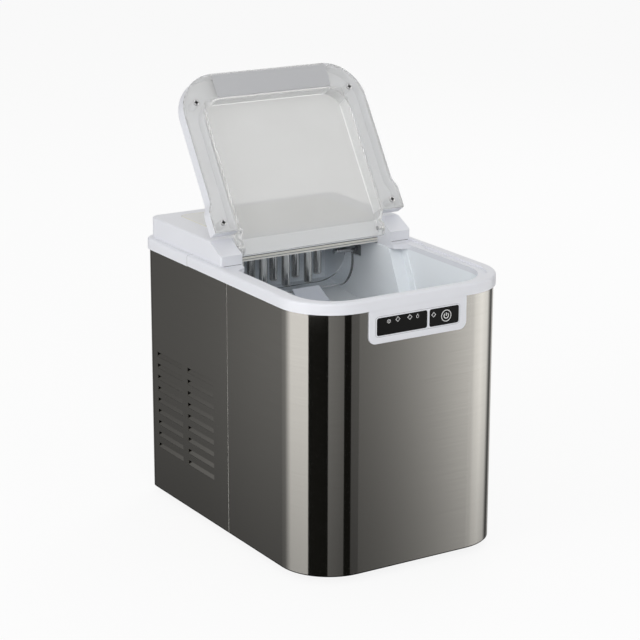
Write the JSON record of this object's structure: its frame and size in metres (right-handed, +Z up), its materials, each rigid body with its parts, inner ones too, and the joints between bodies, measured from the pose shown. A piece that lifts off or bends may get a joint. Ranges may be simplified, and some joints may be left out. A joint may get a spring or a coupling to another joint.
{
  "type": "ice maker",
  "caption": "Counter-top ice maker: steel casing with pressed louvres, hinged lid with a clear window, ice bin, tilting water tray under freezing fingers, and a compressor behind.",
  "frame": {"origin": "on the floor, under the middle of the casing", "axes": "+Z up, front (control panel) towards -Y, +X to the right of someone facing the front; metres"},
  "size_m": [0.2464, 0.3484, 0.4708],
  "materials": {
    "steel_wrap": "dark warm grey, brushed",
    "white_plastic": "cool white, semi-gloss",
    "clear_plastic": "clear, smooth",
    "panel_black": "black, glossy",
    "lens": "dark, glossy",
    "liner_grey": "blue-grey, satin",
    "tray_plastic": "pale grey, satin",
    "bright_screw": "bright",
    "nickel": "dull nickel plate",
    "shaft_steel": "turned",
    "copper": "drawn copper",
    "fin_metal": "plain sheet",
    "sheet_metal": "grey zinc",
    "black_shell": "black, satin",
    "grey_plastic": "grey, matt",
    "black_plastic": "black, matt",
    "board": "green, satin",
    "foam": "pale foam",
    "rubber_black": "black, matt",
    "hose": "pale silicone"
  },
  "bodies": {
    "housing": {"front_shell": "steel_wrap", "rear_shell": "steel_wrap", "front_rim": "white_plastic", "rear_rim": "white_plastic", "rear_cover": "white_plastic", "control_bezel": "white_plastic", "rear_top_plate": "clear_plastic", "indicator_panel": "panel_black", "button_panel": "panel_black", "indicator_lenses": "lens", "bin_liner": "liner_grey", "case_screws": "bright_screw", "evaporator_fingers": "nickel", "hinge_pins": "shaft_steel", "evaporator_tube": "copper", "condenser_coil": "copper", "suction_line": "copper", "discharge_line": "copper", "filter_drier": "copper", "capillary_line": "copper", "liquid_line": "copper", "condenser_fins": "fin_metal", "fan_motor": "fin_metal", "condenser_frame": "sheet_metal", "evaporator_bracket": "sheet_metal", "compressor": "black_shell", "base_pan": "grey_plastic", "fan_shroud": "grey_plastic", "tray_motor": "grey_plastic", "tray_bush": "grey_plastic", "water_pump": "black_plastic", "ice_sensors": "black_plastic", "control_board": "board", "main_board": "board", "foam_jacket": "foam", "rubber_feet": "rubber_black", "compressor_mounts": "rubber_black", "cord_gland": "rubber_black", "pump_inlet_hose": "hose", "pump_outlet_hose": "hose", "drain_hose": "hose"},
    "lid": {"lid_frame": "white_plastic", "lid_window": "clear_plastic", "lid_screws": "bright_screw"},
    "power_button": {"power_button": "panel_black"},
    "water_tray": {"water_tray": "tray_plastic", "tray_shaft": "shaft_steel"},
    "ice_shovel": {"ice_shovel": "tray_plastic"},
    "fan": {"fan_rotor": "black_plastic", "fan_shaft": "shaft_steel"},
    "drain_plug": {"drain_plug": "black_plastic"}
  },
  "joints": [
    {"name": "lid_hinge", "type": "hinge", "parent": "housing", "child": "lid", "pos_m": [0, 0.0255, 0.304], "axis": [1, 0, 0], "range_deg": [0, 122.8]},
    {"name": "button_press", "type": "slide", "parent": "housing", "child": "power_button", "axis": [0, 1, 0], "range_m": [0, 0.0008], "stiffness_N_per_m": 1200},
    {"name": "tray_tilt", "type": "hinge", "parent": "housing", "child": "water_tray", "pos_m": [0, 0.08, 0.269], "axis": [1, 0, 0], "range_deg": [-42, 40]},
    {"name": "shovel_swing", "type": "hinge", "parent": "housing", "child": "ice_shovel", "pos_m": [0, 0.03, 0.2165], "axis": [1, 0, 0], "range_deg": [-24, 25.2]},
    {"name": "fan_spin", "type": "hinge", "parent": "housing", "child": "fan", "pos_m": [-0.0898, 0.087, 0.113], "axis": [1, 0, 0], "continuous": true},
    {"name": "drain_pull", "type": "slide", "parent": "housing", "child": "drain_plug", "axis": [1, 0, 0], "range_m": [0, 0.018]}
  ],
  "couplings": [
    {"joint": "shovel_swing", "follows": "tray_tilt", "ratio": -0.6}
  ]
}
